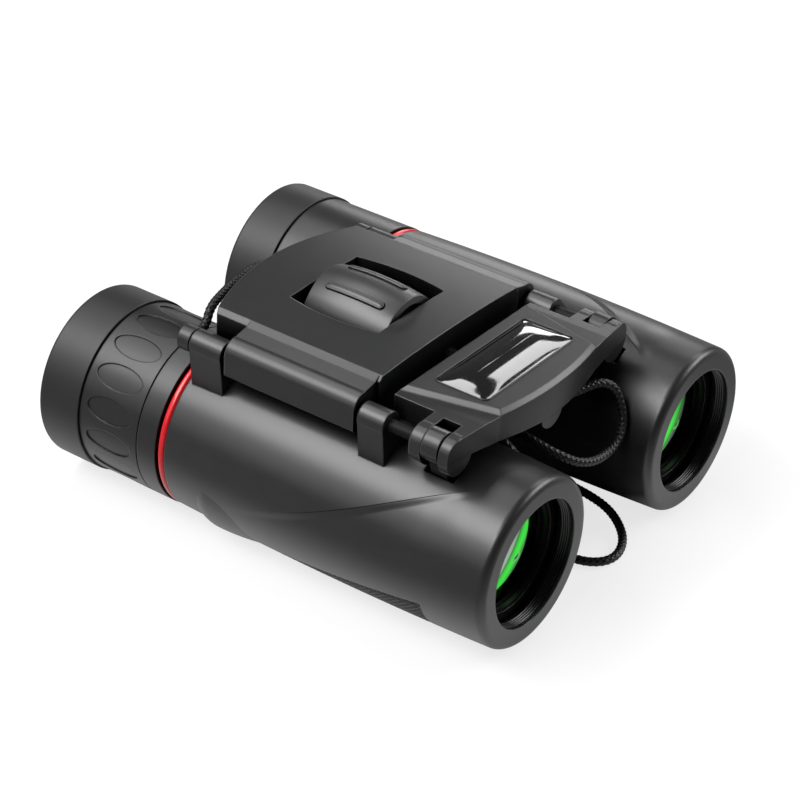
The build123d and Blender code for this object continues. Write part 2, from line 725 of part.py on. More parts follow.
def front_bridge():
    """Sliding front bridge with its raised platform, ears, skirt and nut boss."""
    flank_s = at(front_flank_s)
    front_arc = ThreePointArc((-platform_front_half, flank_s), (0, at(front_centre_s)),
                              (platform_front_half, flank_s))
    sides = Polyline((platform_front_half, flank_s),
                     (front_ear_half, at(front_ear_s)), (front_ear_half, at(front_neck_s)),
                     (front_neck_half, at(front_neck_s)), (front_neck_half, at(front_rear_s)),
                     (-front_neck_half, at(front_rear_s)), (-front_neck_half, at(front_neck_s)),
                     (-front_ear_half, at(front_neck_s)), (-front_ear_half, at(front_ear_s)),
                     (-platform_front_half, flank_s))
    outline = make_face(Curve() + [front_arc, sides])
    slab = extrude(Pos(0, 0, front_skirt) * outline, front_top - front_skirt)
    top = [(-front_ear_shoulder, front_ear_shoulder_w), (-platform_rear_half, front_shoulder_w),
           (platform_rear_half, front_shoulder_w), (front_ear_shoulder, front_ear_shoulder_w)]
    curve = Curve() + [Polyline(*top)]
    for side in (-1, 1):
        shoulder = (side * front_ear_shoulder, front_ear_shoulder_w)
        hip = (side * front_ear_half, front_ear_side_w)
        bend = (side * (front_ear_shoulder + (front_ear_half - front_ear_shoulder) * 0.72),
                front_ear_side_w + (front_ear_shoulder_w - front_ear_side_w) * 0.72)
        foot = (side * front_ear_half, front_ear_foot)
        curve += ThreePointArc(shoulder, bend, hip)
        curve += Polyline(hip, foot, (side * front_neck_half, front_ear_foot),
                          (side * boss_r, front_skirt))
    curve += Line((-boss_r, front_skirt), (boss_r, front_skirt))
    plane = Plane((0, at(front_rear_s + 1), 0), x_dir=(1, 0, 0), z_dir=(0, -1, 0))
    body = slab & extrude(plane * make_face(curve), front_rear_s + 2 - front_centre_s)
    hollow = front_neck_half - front_wall
    body -= block(-hollow, hollow, front_ear_s + front_wall, front_rear_s - front_wall, front_skirt - 1,
                  front_shoulder_w - front_roof)
    edge = Polyline((platform_front_half, flank_s), (platform_rear_half, at(front_rear_s)),
                    (-platform_rear_half, at(front_rear_s)), (-platform_front_half, flank_s))
    deck_low = front_shoulder_w - front_roof / 2
    deck = extrude(Pos(0, 0, deck_low) * make_face(Curve() + [front_arc, edge]), front_top - deck_low)
    body += chamfer(deck.faces().sort_by(Axis.Z)[-1].edges(), platform_bevel)
    boss_end = front_ear_s + boss_length
    boss = drum(boss_r, front_centre_s, boss_end, 0, wheel_axis_w)
    boss += drum(boss_foot_r, front_centre_s, boss_end, 0, boss_foot_w)
    body += boss & block(-boss_r, boss_r, front_centre_s + front_wall / 4, boss_end,
                         boss_foot_w - boss_foot_r, front_shoulder_w - front_roof / 2)
    body -= drum(nut_r, spindle_front_s - focus_travel - face_gap, boss_end + 1, 0, wheel_axis_w)
    body -= drum(spindle_r + face_gap, boss_end, front_rear_s + 1, 0, wheel_axis_w)
    slot_start = cell_arm_s - face_gap
    slot_end = cell_arm_s + cell_arm_width + face_gap
    for side in (-1, 1):
        body += drum(knuckle_r, front_ear_s, front_neck_s, side * knuckle_u, -knuckle_drop)
        ear = sorted((side * carrier_slot_half, side * (front_ear_half + 1)))
        body -= block(ear[0], ear[1], slot_start, slot_end, -knuckle_drop - knuckle_r - 1, front_top + 1)
        body -= drum(pin_r + slide_gap, pin_front_s - focus_travel - face_gap, front_neck_s + 1,
                     side * hinge_half_spacing, 0)
    return body - badge_blank(seat_gap, front_top - badge_depth, front_top + 1)


def badge_blank(grow, low, high):
    """Rounded plate outline of the badge, and of its recess."""
    width = 2 * (badge_half + grow)
    length = badge_rear_s - badge_front_s + 2 * grow
    centre = Pos(0, at((badge_front_s + badge_rear_s) / 2), low)
    return extrude(centre * RectangleRounded(width, length, badge_corner), high - low)


def badge():
    """Domed glossy badge plate, left bare."""
    plate = badge_blank(0, front_top - badge_depth, front_top)
    centre = Pos(0, at((badge_front_s + badge_rear_s) / 2), front_top)
    length = badge_rear_s - badge_front_s
    low = centre * RectangleRounded(2 * badge_half, length, badge_corner)
    high = centre * Pos(0, 0, badge_dome) * RectangleRounded(2 * (badge_half - badge_land),
                                                            length - 2 * badge_land, badge_corner)
    return plate + loft([low, high])


def focus_nut():
    """Nut in the boss of the front bridge that runs on the spindle."""
    start = spindle_front_s - focus_travel - face_gap + seat_gap
    end = front_ear_s + boss_length
    body = drum(nut_r - seat_gap, start + nut_length / 2, end, 0, wheel_axis_w)
    return body - drum(spindle_r + slide_gap, start - 1, end + 1, 0, wheel_axis_w)


def cord_path(points):
    """Straight runs joined by arcs as large as the runs allow; prints the least radius."""
    spots = [Vector(*p) for p in points]
    radii = []
    for before, here, after in zip(spots, spots[1:], spots[2:]):
        turn = math.radians((here - before).get_angle(after - here))
        shorter = min((here - before).length, (after - here).length)
        radii.append(0.45 * shorter / math.tan(turn / 2))
    path = FilletPolyline(*spots, radius=radii)
    print("cord runs", len(spots) - 1, "length", round(path.length, 1), "least radius", round(min(radii), 1))
    return path


def cord(points):
    """Round cord swept along its path."""
    path = cord_path(points)
    section = Plane(path @ 0, z_dir=path % 0) * Circle(cord_r)
    solid = sweep(section, path)
    plain = math.pi * cord_r ** 2 * path.length
    print("cord volume over section times length", round(solid.volume / plain, 4))
    return solid


strap_tether_points = [
    bridge_point(-24.8, cord_hole_s, 0.0),
    bridge_point(-21.6, cord_hole_s, 0.0),
    bridge_point(-19.0, 72.6, 3.0),
    bridge_point(-13.5, 74.0, 3.3),
    bridge_point(-6.5, 75.6, 3.2),
    bridge_point(0.5, 76.6, 2.6),
    bridge_point(6.5, 76.6, -0.5),
    bridge_point(7.5, 73.5, -6.5),
    bridge_point(4.0, 66.5, -11.8),
    bridge_point(0.4, 58.0, -13.6),
    bridge_point(0.1, 50.0, -13.3),
    bridge_point(0.0, 43.0, crimp_w - 0.6),
    bridge_point(0.0, crimp_front_s + crimp_length, crimp_w),
]


def crimp():
    """Flat sleeve that joins the tether to the two ends of the wrist loop."""
    height = strand_pitch + 2 * (cord_r + crimp_wall)
    plane = Plane((0, at(crimp_front_s), crimp_w), x_dir=(0, 0, 1), z_dir=(0, 1, 0))
    return extrude(plane * SlotOverall(height, 2 * (cord_r + crimp_wall)), crimp_length)


def loop_points():
    """Route of the wrist loop in the gap between the barrels, from the crimp and back to it."""
    upper_w = crimp_w + strand_pitch / 2
    lower_w = crimp_w - strand_pitch / 2
    floor = cord_r + seat_gap
    spots = [
        (-4.4, 15.2, 32.6), (2.6, 12.8, 34.6), (11.2, 9.6, 33.3), (11.4, 6.2, 24.8),
        (6.0, 5.4, 21.5), (-3.1, 5.4, 23.1), (-8.4, 8.8, 26.8), (-10.5, 16.5, 30.0),
        (-7.0, 24.5, 25.5),
        (-1.5, 29.0, 17.5), (1.5, 33.0, 7.5), (2.0, 40.5, 1.6), (1.0, 51.0, floor),
        (1.5, 61.5, floor), (4.0, 71.5, floor), (14.5, 71.0, floor), (17.0, 61.0, floor),
        (16.5, 50.0, floor), (17.4, 38.5, floor), (18.2, 27.0, floor), (17.6, 16.5, floor),
        (15.4, 9.2, floor), (9.2, 2.6, floor), (2.4, 0.7, floor), (-1.8, 4.4, floor),
        (-2.2, 11.2, floor),
        (-6.2, 18.4, 2.6), (-6.2, 20.2, 11.0), (-8.0, 14.5, 20.5),
    ]
    route = [bridge_point(0, crimp_front_s, upper_w), bridge_point(0, 22.5, upper_w)]
    route += [Vector(x, at(s), height) for x, s, height in spots]
    return route + [bridge_point(0, 21.0, lower_w), bridge_point(0, crimp_front_s, lower_w)]


def main():
    os.makedirs("parts", exist_ok=True)
    for side in ("right", "left"):
        place = barrel_place[side]
        crown, flint = objective_glass()
        prism_front, prism_rear = prism_pair()
        ocular_cell, field_lens, eye_lens = ocular(side == "right")
        edge_s = cell_front_s + lens_recess
        retainer = tube(lens_r, lens_r - retainer_width, edge_s, edge_s + retainer_length) - crown
        ring_bore = tube_outer_r + seat_gap
        pieces = {
            "housing": housing(side),
            "grip_pad": grip_pad(side),
            "red_ring": tube(ring_outer_r, ring_bore, ring_s, ring_s + ring_width),
            "eyepiece_tube": eyepiece_tube(side == "right"),
            "eyecup": eyecup(),
            "prism_holder": prism_holder(),
            "prism_front": prism_front,
            "prism_rear": prism_rear,
            "ocular_cell": ocular_cell,
            "field_lens": field_lens,
            "eye_lens": eye_lens,
            "objective_cell": objective_cell(),
            "objective_crown": crown,
            "objective_flint": flint,
            "objective_retainer": retainer,
        }
        if side == "right":
            pieces["collar"] = tube(dial_outer_r, ring_bore, collar_s, collar_s + collar_width)
            pieces["diopter_ring"] = diopter_ring()
        else:
            pieces["sleeve"] = tube(dial_outer_r, ring_bore, collar_s, dial_s + dial_width)
        for name, shape in pieces.items():
            save(side + "_" + name, place * shape)

    wall_end = plate_front_s + 2 * base_rim
    rear_wall = (cavity_rear_s, plate_rear_s - 2 * base_rim)
    bridge_pieces = {
        "bridge_cover": bridge_cover(),
        "bridge_base": bridge_base(),
        "base_screws": base_screws(),
        "right_hinge_pin": hinge_pin(-1),
        "left_hinge_pin": hinge_pin(1),
        "right_pin_cap": pin_cap(-1),
        "left_pin_cap": pin_cap(1),
        "front_bush": spindle_bush(plate_front_s, wall_end),
        "rear_bush": spindle_bush(*rear_wall),
        "focus_wheel": focus_wheel(),
        "wheel_core": wheel_core(),
        "focus_spindle": drum(spindle_r, spindle_front_s, rear_wall[1], 0, wheel_axis_w),
        "front_bridge": front_bridge(),
        "badge": badge(),
        "focus_nut": focus_nut(),
        "strap_crimp": crimp(),
    }
    for name, shape in bridge_pieces.items():
        save(name, bridge_place * shape)
    save("strap_tether", cord(strap_tether_points))
    save("strap_loop", cord(loop_points()))


main()
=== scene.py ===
# %% [markdown]
# # Compact folding binoculars
# The imported solids come in as a fixed frame: two barrels that fold on a double-hinge
# bridge, a focus wheel, a sliding front bridge, a diopter ring and a corded wrist strap.
# This lesson dresses that frame.  Shapes that the solids already have are kept and get a
# finish; the braided cords, the diamond grips, the dark lines of painted shade along the creases,
# the filter threads, the red rings, the domed badge and the wheel's ribs are worked out here as numpy surfaces.

# %% Load the frame
import math
import bmesh
import bpy
import numpy as np
from mathutils import Matrix, Vector


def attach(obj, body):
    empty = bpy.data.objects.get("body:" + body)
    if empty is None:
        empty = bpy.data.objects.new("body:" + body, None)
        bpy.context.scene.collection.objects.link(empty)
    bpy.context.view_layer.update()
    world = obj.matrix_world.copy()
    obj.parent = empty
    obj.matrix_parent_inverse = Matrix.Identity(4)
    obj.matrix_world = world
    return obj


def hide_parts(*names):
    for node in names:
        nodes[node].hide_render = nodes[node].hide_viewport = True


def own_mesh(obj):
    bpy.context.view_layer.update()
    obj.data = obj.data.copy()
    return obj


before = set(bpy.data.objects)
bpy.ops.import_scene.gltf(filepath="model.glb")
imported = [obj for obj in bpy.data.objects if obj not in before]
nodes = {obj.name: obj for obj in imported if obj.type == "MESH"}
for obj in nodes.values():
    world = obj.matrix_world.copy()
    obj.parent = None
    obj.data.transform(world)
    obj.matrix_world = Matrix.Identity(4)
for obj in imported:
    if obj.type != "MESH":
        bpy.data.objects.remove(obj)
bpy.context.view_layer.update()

# %% [markdown]
# Every size below repeats a named size of the solids, in millimetres, so that a skin sits
# exactly on the piece that it stands for.  Stations are counted from the front rim.

# %% Sizes shared with the solids
total_length = 101.2
hinge_half_spacing = 25.9
hinge_arm = 23.5
fold_in_right = 21.0
fold_out_left = 27.5
axis_height = 17.3
rim_bore_r, rim_outer_r, rim_round = 12.3, 16.5, 1.5
body_mid_r, body_end_r, body_mid_s, body_end_s = 17.3, 16.8, 40.0, 70.6
right_drop = hinge_arm * math.cos(math.radians(fold_in_right))
left_drop = hinge_arm * math.cos(math.radians(fold_out_left))
right_in = hinge_arm * math.sin(math.radians(fold_in_right))
left_out = hinge_arm * math.sin(math.radians(fold_out_left))
span_u = 2 * hinge_half_spacing + left_out - right_in
span_w = right_drop - left_drop
axis_spacing = math.hypot(span_u, span_w)
lean = math.atan2(span_w, span_u)
barrel_turn = {"right": lean - math.radians(fold_in_right), "left": lean - math.radians(fold_out_left)}
barrel_x = {"right": -axis_spacing / 2, "left": axis_spacing / 2}
outward = {"right": -1.0, "left": 1.0}
print("barrel spacing", round(axis_spacing, 2), "bridge lean", round(math.degrees(lean), 2))


# %% [markdown]
# Two frames are enough for all the pieces.  A barrel has its own axes, with the hinge
# straight above its middle, and is then turned about the hinge line; the bridge has
# (across, station, above the hinges) and leans by about one degree.

# %% From a piece's own sizes to the frame
def barrel_to_row(side, x, s, z):
    """Local (across, station, towards the hinge) of a barrel to row metres: turn about Y, then shift."""
    x, s, z = np.broadcast_arrays(*[np.asarray(v, float) for v in (x, s, z)])
    c, n = math.cos(barrel_turn[side]), math.sin(barrel_turn[side])
    across = barrel_x[side] + x * c + z * n
    above = axis_height - x * n + z * c
    return np.stack([across, s - total_length / 2, above], -1) / 1000


def bridge_to_row(u, s, w):
    """(across, station, above the hinge line) of the bridge to row metres: lean about Y, then shift."""
    u, s, w = np.broadcast_arrays(*[np.asarray(v, float) for v in (u, s, w)])
    c, n = math.cos(lean), math.sin(lean)
    fu, fw = u + hinge_half_spacing - right_in, w + right_drop
    x = -axis_spacing / 2 + fu * c + fw * n
    z = axis_height - fu * n + fw * c
    return np.stack([x, s - total_length / 2, z], -1) / 1000


def body_radius(s):
    """Radius of the barrel at a station: the circle through the rim, the middle and the rear end."""
    stations = np.array([rim_round, body_mid_s, body_end_s])
    radii = np.array([rim_outer_r, body_mid_r, body_end_r])
    table = np.column_stack([2 * stations, 2 * radii, np.ones(3)])
    mid_s, mid_r, rest = np.linalg.solve(table, stations ** 2 + radii ** 2)
    return mid_r + np.sqrt(rest + mid_s ** 2 + mid_r ** 2 - (s - mid_s) ** 2)


rim_mid_end = body_radius(np.array([rim_round, body_mid_s, body_end_s]))
print("radius at the rim, middle and end", rim_mid_end.round(2))


# %% [markdown]
# A skin is a grid of points: one parameter runs round the piece, the other along it.  One
# helper turns such a grid into a smooth mesh.  Where a pole or a seam comes together, the
# doubled points are merged and the faces are turned outwards, so the piece is closed.

# %% Grid to mesh
def grid_piece(name, points, close_round=True, close_along=False, welded=False, shade_tone=None):
    """Quads between neighbours of an (along, round, 3) grid of points in metres.
    A shade value from 0 to 1 may be kept at each point, for a finish that paints shade into the hollows."""
    rows, cols = points.shape[:2]
    i = np.arange(rows if close_along else rows - 1)
    j = np.arange(cols if close_round else cols - 1)
    a, b = np.meshgrid(i, j, indexing="ij")
    a2, b2 = (a + 1) % rows, (b + 1) % cols
    quads = np.stack([a * cols + b, a * cols + b2, a2 * cols + b2, a2 * cols + b], -1).reshape(-1, 4)
    mesh = bpy.data.meshes.new(name)
    mesh.vertices.add(rows * cols)
    mesh.vertices.foreach_set("co", points.reshape(-1).astype(np.float32))
    mesh.loops.add(quads.size)
    mesh.loops.foreach_set("vertex_index", quads.reshape(-1).astype(np.int32))
    mesh.polygons.add(len(quads))
    mesh.polygons.foreach_set("loop_start", np.arange(0, quads.size, 4, dtype=np.int32))
    mesh.polygons.foreach_set("use_smooth", np.ones(len(quads), bool))
    mesh.update(calc_edges=True)
    if shade_tone is not None:
        layer = mesh.attributes.new("shade_tone", "FLOAT", "POINT")
        layer.data.foreach_set("value", shade_tone.reshape(-1).astype(np.float32))
    if welded:
        work = bmesh.new()
        work.from_mesh(mesh)
        bmesh.ops.remove_doubles(work, verts=work.verts, dist=1e-6)
        bmesh.ops.recalc_face_normals(work, faces=work.faces)
        work.to_mesh(mesh)
        work.free()
    mesh.validate()
    piece = bpy.data.objects.new(name, mesh)
    bpy.context.scene.collection.objects.link(piece)
    print(name, "faces", len(mesh.polygons))
    return piece


def dress(piece, body, slot, material, *replaced):
    """Gives a new piece its material and body, and hides the solids that it stands for; the slot is not used.
    """
    piece.data.materials.clear()
    piece.data.materials.append(material)
    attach(piece, body)
    if replaced:
        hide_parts(*replaced)
    return piece


# %% [markdown]
# Black binoculars are many blacks: satin rubber armour, grained plates with paler edges,
# gloss on the badge, polished lens coating.  Each finish mixes a fine noise into
# colour, roughness and bump, all on Object coordinates so that it moves with the piece.
# The edges come from a Bevel node, which rounds the shading at a sharp edge: where the
# rounded normal leaves the true one, there is an edge, and its colour is painted paler, partly
# as worn edges and partly as a painted highlight.  Hollows can be painted darker as painted shade.

# %% A finish with grain, worn edges with a painted highlight, and painted shade
def shader_of(name):
    """A fresh node material and its shader."""
    material = bpy.data.materials.new(name)
    material.use_nodes = True
    tree = material.node_tree
    return material, tree, tree.nodes["Principled BSDF"]


def colour_mix(tree, factor, low, high):
    """Mixes two colours, each a constant or another node's output, by a factor output."""
    mix = tree.nodes.new("ShaderNodeMix")
    mix.data_type = "RGBA"
    tree.links.new(factor, mix.inputs["Factor"])
    for socket, value in (("A", low), ("B", high)):
        if isinstance(value, tuple):
            mix.inputs[socket].default_value = (*value, 1)
        else:
            tree.links.new(value, mix.inputs[socket])
    return mix.outputs["Result"]


def spread(tree, value, from_range, to_range):
    """Maps one range of a value to another with soft ends."""
    node = tree.nodes.new("ShaderNodeMapRange")
    node.interpolation_type = "SMOOTHSTEP"
    node.inputs["From Min"].default_value, node.inputs["From Max"].default_value = from_range
    node.inputs["To Min"].default_value, node.inputs["To Max"].default_value = to_range
    tree.links.new(value, node.inputs["Value"])
    return node.outputs["Result"]


def noise(tree, place, scale, detail):
    """Noise of a scale per metre on Object coordinates."""
    node = tree.nodes.new("ShaderNodeTexNoise")
    node.inputs["Scale"].default_value = scale
    node.inputs["Detail"].default_value = detail
    tree.links.new(place.outputs["Object"], node.inputs["Vector"])
    return node.outputs["Fac"]


def math_node(tree, operation, *values):
    """One Math node; each value is a constant or another node's output."""
    node = tree.nodes.new("ShaderNodeMath")
    node.operation = operation
    for socket, value in zip(node.inputs, values):
        if isinstance(value, (int, float)):
            socket.default_value = value
        else:
            tree.links.new(value, socket)
    return node.outputs["Value"]


# Near black that paints shade into hollows.
hollow_shade_black = (0.0005, 0.0005, 0.0005)


def grained(name, dark, light, rough, grain=5200, bump=0.00001, edge=None, edge_r=0.0003,
            specular=0.5, coat=0.0, metallic=0.0, shade_tone=False, crease=None, painted_shade_reach=0.0):
    """Noise of `grain` per metre varies colour and roughness and raises `bump` metres.
    `edge` tints the edges, rounded over `edge_r` metres, paler: partly wear, partly a painted highlight.
    A flag lets a shade value kept on the mesh paint shade into the hollows of a relief, `crease` gives
    a height in metres that is pressed into the skin, and the last argument is the reach in metres
    within which near walls paint shade into the colour and the gloss."""
    material, tree, shader = shader_of(name)
    link = tree.links.new
    place = tree.nodes.new("ShaderNodeTexCoord")
    fine = noise(tree, place, grain, 3.0)
    broad = noise(tree, place, grain / 18, 2.0)
    colour = colour_mix(tree, broad, dark, light)
    # Painted shade: the hollows of a relief are darkened towards near black by the value kept on the mesh.
    if shade_tone:
        height = tree.nodes.new("ShaderNodeAttribute")
        height.attribute_name = "shade_tone"
        colour = colour_mix(tree, height.outputs["Fac"], hollow_shade_black, colour)
    relief = tree.nodes.new("ShaderNodeBump")
    relief.inputs["Strength"].default_value = 0.5
    relief.inputs["Distance"].default_value = bump
    link(fine, relief.inputs["Height"])
    # Paler edges: partly wear, partly a painted highlight along the edge.
    if edge:
        rounded = tree.nodes.new("ShaderNodeBevel")
        rounded.samples = 6
        rounded.inputs["Radius"].default_value = edge_r
        true = tree.nodes.new("ShaderNodeNewGeometry")
        agree = tree.nodes.new("ShaderNodeVectorMath")
        agree.operation = "DOT_PRODUCT"
        link(rounded.outputs["Normal"], agree.inputs[0])
        link(true.outputs["Normal"], agree.inputs[1])
        wear_and_highlight = spread(tree, agree.outputs["Value"], (0.75, 0.99), (0.8, 0.0))
        colour = colour_mix(tree, wear_and_highlight, colour, edge)
        link(rounded.outputs["Normal"], relief.inputs["Normal"])
    if crease:
        fold = tree.nodes.new("ShaderNodeBump")
        fold.inputs["Distance"].default_value = 1.0
        link(crease(tree, place), fold.inputs["Height"])
        if edge:
            link(rounded.outputs["Normal"], fold.inputs["Normal"])
        link(fold.outputs["Normal"], relief.inputs["Normal"])
    link(colour, shader.inputs["Base Color"])
    link(spread(tree, fine, (0, 1), (rough - 0.06, rough + 0.06)), shader.inputs["Roughness"])
    link(relief.outputs["Normal"], shader.inputs["Normal"])
    shader.inputs["Specular IOR Level"].default_value = specular
    # Painted shade: colour and gloss darken where other walls are near.
    if painted_shade_reach:
        shade = tree.nodes.new("ShaderNodeAmbientOcclusion")
        shade.samples = 4
        shade.inputs["Distance"].default_value = painted_shade_reach
        unshaded = spread(tree, shade.outputs["AO"], (0.25, 0.9), (0.0, 1.0))
        link(colour_mix(tree, unshaded, hollow_shade_black, colour), shader.inputs["Base Color"])
        link(math_node(tree, "MULTIPLY", unshaded, specular), shader.inputs["Specular IOR Level"])
    shader.inputs["Coat Weight"].default_value = coat
    shader.inputs["Coat Roughness"].default_value = 0.06
    shader.inputs["Metallic"].default_value = metallic
    return material


# %% [markdown]
# A crease runs from the front of each barrel over its shoulder.  Below it the skin lies a
# little lower, and the step runs out towards the back.  It is too shallow for a surface of
# its own, so the armour's finish presses it in: the angle round the barrel is worked out
# from the Object coordinates and set against a curve over the station.

# %% The crease over a barrel's shoulder
crease_depth = 0.00028
crease_s = np.array([9.0, 10.9, 21.6, 38.6, 46.0])
crease_angle = np.radians([4.0, 8.2, 31.2, 59.2, 70.0])
crease_curve = np.polynomial.Polynomial.fit(crease_s, crease_angle, 2).convert().coef


def shoulder_crease(side):
    """Height of the skin in metres: -depth below the line a(s) = c0 + c1 s + c2 s ** 2, run out at the ends."""
    middle = (barrel_x[side] / 1000, -total_length / 2000, axis_height / 1000)

    def height(tree, place):
        turned = tree.nodes.new("ShaderNodeMapping")
        turned.vector_type = "TEXTURE"
        turned.inputs["Location"].default_value = middle
        turned.inputs["Rotation"].default_value = (0, barrel_turn[side], 0)
        tree.links.new(place.outputs["Object"], turned.inputs["Vector"])
        apart = tree.nodes.new("ShaderNodeSeparateXYZ")
        tree.links.new(turned.outputs["Vector"], apart.inputs["Vector"])
        across = math_node(tree, "MULTIPLY", apart.outputs["X"], outward[side])
        angle = math_node(tree, "ARCTAN2", across, apart.outputs["Z"])
        s = math_node(tree, "MULTIPLY", apart.outputs["Y"], 1000.0)
        line = math_node(tree, "MULTIPLY_ADD", s, float(crease_curve[2]), float(crease_curve[1]))
        line = math_node(tree, "MULTIPLY_ADD", line, s, float(crease_curve[0]))
        past = math_node(tree, "SUBTRACT", angle, line)
        step = spread(tree, past, (-0.01, 0.10), (0.0, -crease_depth))
        starts = spread(tree, s, (8.0, 14.0), (0, 1))
        ends = spread(tree, s, (34.0, 60.0), (1, 0))
        returns = spread(tree, past, (0.25, 1.1), (1.0, 0.0))
        run = math_node(tree, "MULTIPLY", step, math_node(tree, "MULTIPLY", starts, ends))
        return math_node(tree, "MULTIPLY", run, returns)

    return height


print("crease from", crease_s[0], "to", crease_s[-1], "coefficients", crease_curve.round(5))

# %% [markdown]
# Each finish is named for what it is made of, or for the painted shade that it carries.  The first
# two colours are its dark and its light grain.  The armour has one finish per barrel, because the crease is
# placed by side.

# %% The finishes of these binoculars
armour = {}
for side in ("right", "left"):
    armour[side] = grained(side + "_satin_armour", (0.008, 0.008, 0.0085), (0.014, 0.014, 0.0145), 0.36, 5200,
                           0.000008, edge=(0.030, 0.030, 0.031), edge_r=0.0004, specular=0.8,
                           crease=shoulder_crease(side), painted_shade_reach=0.0015)
plate = grained("grained_plate", (0.014, 0.014, 0.015), (0.021, 0.021, 0.022), 0.34, 6500, 0.000012,
                edge=(0.20, 0.20, 0.205), edge_r=0.0003, specular=0.6, painted_shade_reach=0.007)
eyepiece_black = grained("eyepiece_black", (0.010, 0.010, 0.0105), (0.017, 0.017, 0.018), 0.36, 6000,
                         0.000008, edge=(0.06, 0.06, 0.062), specular=0.6, painted_shade_reach=0.0008)
cup_rubber = grained("cup_rubber", (0.009, 0.009, 0.0095), (0.016, 0.016, 0.017), 0.46, 4200, 0.00001,
                     edge=(0.04, 0.04, 0.042), edge_r=0.0004, specular=0.6)
grip_rubber = grained("grip_rubber", (0.020, 0.020, 0.021), (0.035, 0.035, 0.036), 0.42, 5000, 0.00001,
                      shade_tone=True)
# Painted shade: the plate finish again, darkened by walls within 14 mm, so the objective cell reads black deep
# in the barrel.
cell_plate_shaded = grained("cell_plate_shaded", (0.014, 0.014, 0.015), (0.021, 0.021, 0.022), 0.34, 6500, 0.000012,
                     edge=(0.20, 0.20, 0.205), edge_r=0.0003, specular=0.6, painted_shade_reach=0.014)
inner_black = grained("baffle_black", (0.002, 0.002, 0.002), (0.004, 0.004, 0.004), 0.50, 3000, specular=0.25)
thread_black = grained("thread_black", (0.002, 0.002, 0.002), (0.004, 0.004, 0.004), 0.30, 4000, specular=0.4)
# Blackened steel, made darker and duller still as painted shade for pins that sit in the dark gaps between lugs
# and knuckles.
pin_shaded_black = grained("blackened_shaded_pin", (0.003, 0.003, 0.0035), (0.006, 0.006, 0.0065), 0.55, 4000, 0.000004,
                    specular=0.2)
wheel_rubber = grained("wheel_rubber", (0.022, 0.022, 0.023), (0.036, 0.036, 0.037), 0.36, 5600, 0.00001,
                       edge=(0.20, 0.20, 0.205), specular=0.8, painted_shade_reach=0.0008)
red_gloss = grained("red_ring_gloss", (0.68, 0.006, 0.012), (0.80, 0.012, 0.020), 0.30, 2500, 0.000003,
                    coat=0.4)
badge_gloss = grained("badge_gloss", (0.004, 0.004, 0.0045), (0.007, 0.007, 0.0075), 0.10, 900, 0.0000005,
                      coat=1.0, specular=1.0)
# Brass darkened to near black as painted shade, for the bush and nut that sit in the gap between the plates.
brass_shaded = grained("shaded_brass", (0.10, 0.070, 0.028), (0.16, 0.12, 0.05), 0.40, 3000, 0.000005,
                      metallic=1.0)
steel_oiled = grained("oiled_steel", (0.10, 0.10, 0.105), (0.17, 0.17, 0.175), 0.38, 3000, 0.000005,
                      edge=(0.4, 0.4, 0.41), metallic=1.0)
# Dead black, dull and nearly without gloss: painted shade for crease lines, groove floors and the lines round
# the wheel's ribs.
painted_shade_black = grained("painted_shade_black", (0.001, 0.001, 0.001), (0.002, 0.002, 0.002), 0.7, specular=0.1)
cord_black = grained("braided_nylon", (0.010, 0.010, 0.0105), (0.020, 0.020, 0.021), 0.36, 7000, 0.00001,
                     specular=0.4, shade_tone=True)
print("finishes", len(bpy.data.materials))


# %% [markdown]
# The objective glass carries a green coating.  A stack of thin layers mirrors one colour
# and lets the rest through, and the colour shifts with the angle at which it is seen.  So
# the glass is given a metal's tinted reflection over a black depth, and the tint is read
# from a ramp over the facing angle: grey-green, bright green, then darkness.  On the objective
# the ramp's narrow pale, bright and dark bands are a painted reflection over the coating's green.

# %% Lens coatings
def coated_glass(name, tints, metallic):
    """Polished mirror; tints are (1 - cos of the angle of view, colour) along a ramp."""
    material, tree, shader = shader_of(name)
    facing = tree.nodes.new("ShaderNodeLayerWeight")
    ramp = tree.nodes.new("ShaderNodeValToRGB")
    tree.links.new(facing.outputs["Facing"], ramp.inputs["Fac"])
    for place, colour in tints[1:-1]:
        ramp.color_ramp.elements.new(place)
    for stop, (place, colour) in zip(ramp.color_ramp.elements, tints):
        stop.position = place
        stop.color = (*colour, 1)
    tree.links.new(ramp.outputs["Color"], shader.inputs["Base Color"])
    shader.inputs["Roughness"].default_value = 0.03
    shader.inputs["Metallic"].default_value = metallic
    shader.inputs["Specular IOR Level"].default_value = 0.3
    return material


# Painted reflection: the narrow bright and dark bands between facings of 0.5 and 0.62 paint a reflection onto
# the coating's green.
objective_painted_bands = coated_glass("objective_coating_painted_reflection", [
    (0.0, (0.010, 0.075, 0.020)), (0.36, (0.02, 0.16, 0.035)), (0.48, (0.22, 0.36, 0.24)),
    (0.515, (0.46, 0.56, 0.47)), (0.528, (0.30, 0.48, 0.32)), (0.536, (0.01, 0.20, 0.012)),
    (0.545, (0.02, 0.62, 0.03)), (0.568, (0.012, 1.0, 0.02)), (0.592, (0.01, 0.62, 0.015)),
    (0.600, (0.003, 0.10, 0.004)), (0.606, (0.006, 0.38, 0.008)), (0.62, (0.001, 0.01, 0.001))], 1.0)
ocular_violet = coated_glass("ocular_coating", [
    (0.0, (0.05, 0.05, 0.13)), (0.35, (0.06, 0.09, 0.17)), (0.6, (0.04, 0.11, 0.10)),
    (1.0, (0.02, 0.03, 0.03))], 1.0)
clear = coated_glass("prism_glass", [(0.0, (0.05, 0.07, 0.065)), (1.0, (0.03, 0.05, 0.045))], 0.2)

# %% [markdown]
# The solids that stay are dressed by name: the first word in the list that is part of a
# solid's name gives its finish, and all the others are grained plate.

